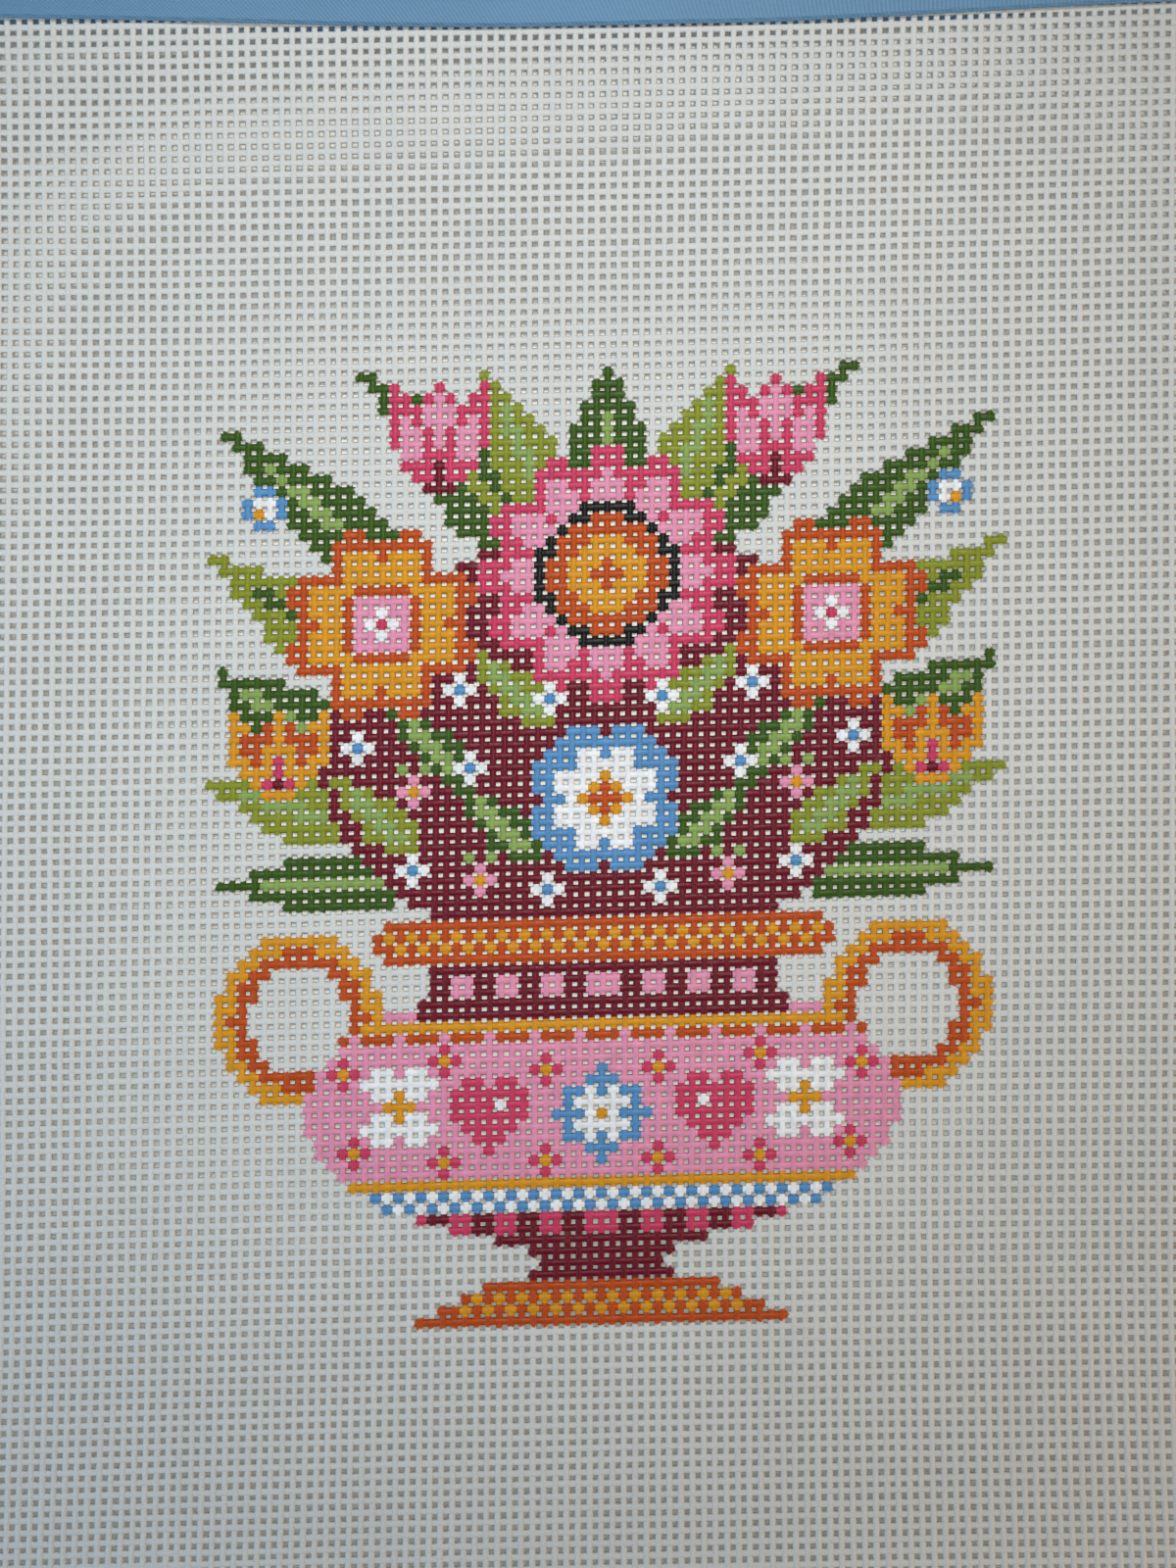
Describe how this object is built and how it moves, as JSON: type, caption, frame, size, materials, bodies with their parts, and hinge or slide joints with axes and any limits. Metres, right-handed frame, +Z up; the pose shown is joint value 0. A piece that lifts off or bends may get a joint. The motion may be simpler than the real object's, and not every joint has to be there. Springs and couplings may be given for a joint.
{
  "type": "hand-painted needlepoint canvas with bound edges",
  "caption": "Rectangular needlepoint canvas of open square weave with a hand-painted flowerpot design, folded woven tape sewn over its edges, lying loosely with its edges slightly lifted.",
  "frame": {"origin": "on the surface that the canvas lies on, under the middle of its box", "axes": "+Z up, out of the painted face; +Y along the warp threads, to the top of the painted design; +X to the design's right"},
  "size_m": [0.2058, 0.232, 0.0158],
  "materials": {
    "canvas": "white cotton mono canvas, stiffened, matt, painted by hand in flat colours",
    "binding": "blue twill-woven tape with a faint sheen"
  },
  "bodies": {
    "root": {"canvas": "canvas", "binding_top": "binding", "binding_left": "binding", "binding_bottom": "binding", "binding_right": "binding"}
  },
  "joints": []
}
